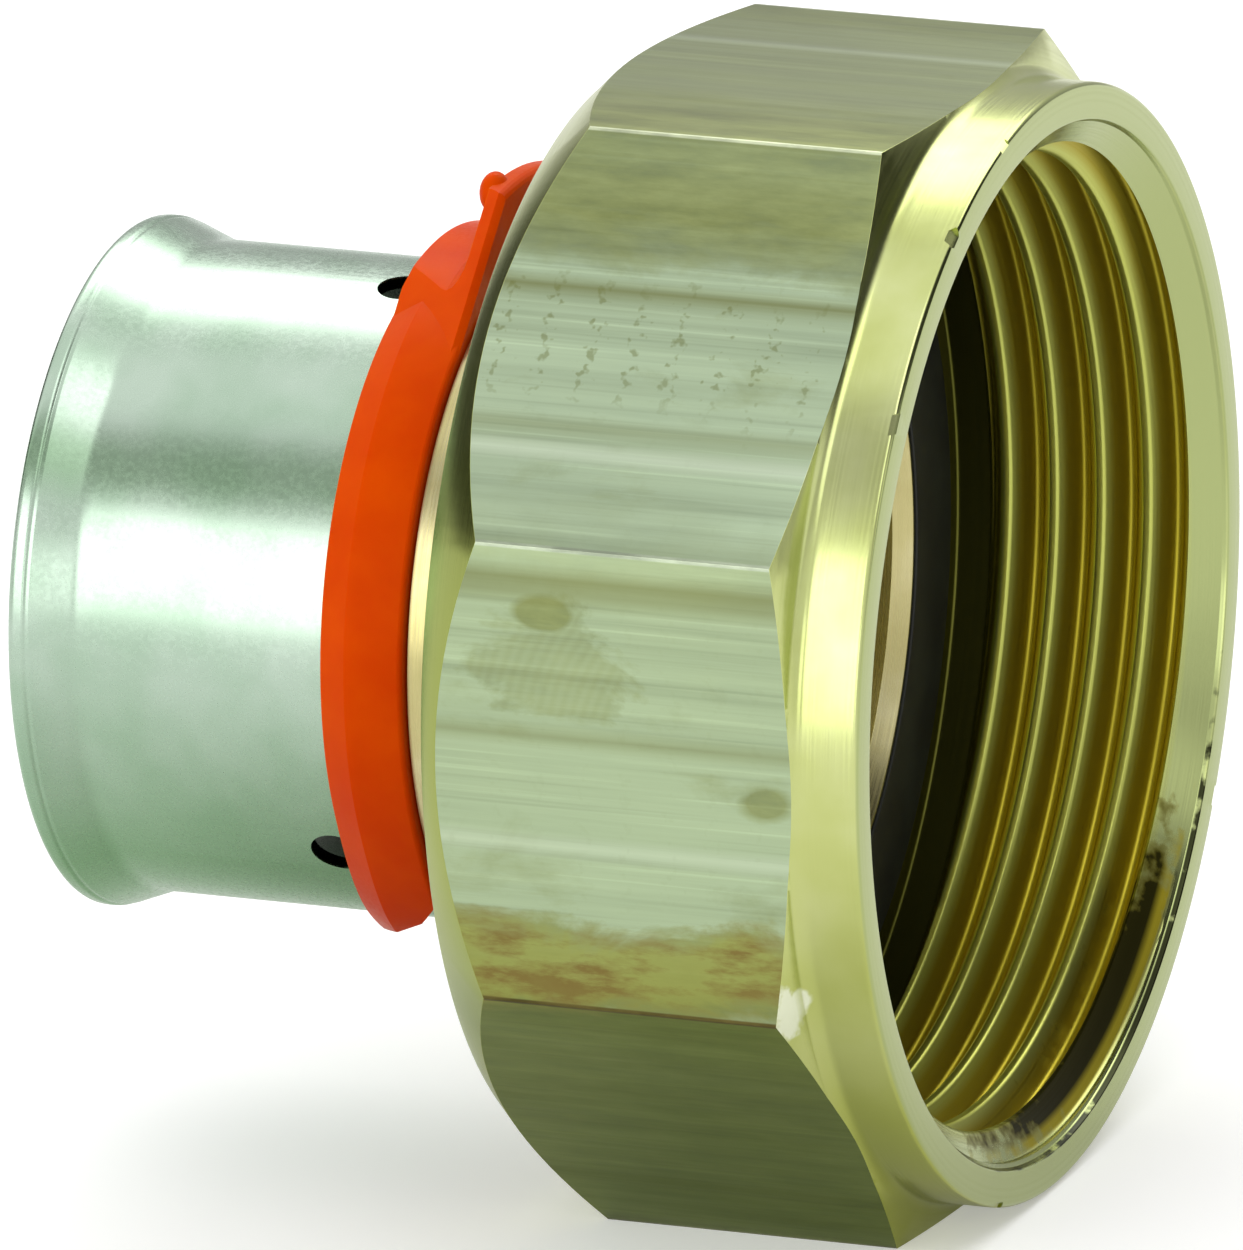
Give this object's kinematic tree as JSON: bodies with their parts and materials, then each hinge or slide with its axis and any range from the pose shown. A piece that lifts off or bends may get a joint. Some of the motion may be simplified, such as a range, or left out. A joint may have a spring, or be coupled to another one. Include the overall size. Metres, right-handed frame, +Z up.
{
  "type": "press fitting with swivel union nut",
  "caption": "Straight pipe adapter: press socket for a plastic tube at one end, flat-sealing swivel union nut with internal pipe thread at the other.",
  "frame": {"origin": "on the fitting's axis, where the union nut's thread starts, 1.6 mm inside the nut's mouth", "axes": "+X along the axis and out of the nut's mouth, +Z up, with the nut lying on one of its eight flats"},
  "size_m": [0.045, 0.052, 0.052],
  "materials": {
    "nut_brass": "turned yellow brass with oxidised, drawn flats",
    "gasket_rubber": "matt black rubber",
    "body_bronze": "turned bronze",
    "sleeve_steel": "drawn stainless sheet, satin",
    "ring_plastic": "moulded orange plastic, slightly glossy"
  },
  "bodies": {
    "nut": {"union_nut": "nut_brass"},
    "gasket": {"gasket": "gasket_rubber"},
    "tailpiece": {"tailpiece": "body_bronze"},
    "press_sleeve": {"press_sleeve": "sleeve_steel", "control_ring": "ring_plastic"}
  },
  "joints": [
    {"name": "tail_slide", "type": "slide", "parent": "nut", "child": "gasket", "axis": [1, 0, 0], "range_m": [0, 0.0041]},
    {"name": "tail_swivel", "type": "hinge", "parent": "gasket", "child": "tailpiece", "pos_m": [-0.0145, 0, 0], "axis": [1, 0, 0], "continuous": true},
    {"name": "sleeve_turn", "type": "hinge", "parent": "tailpiece", "child": "press_sleeve", "pos_m": [-0.03, 0, 0], "axis": [1, 0, 0], "continuous": true}
  ]
}
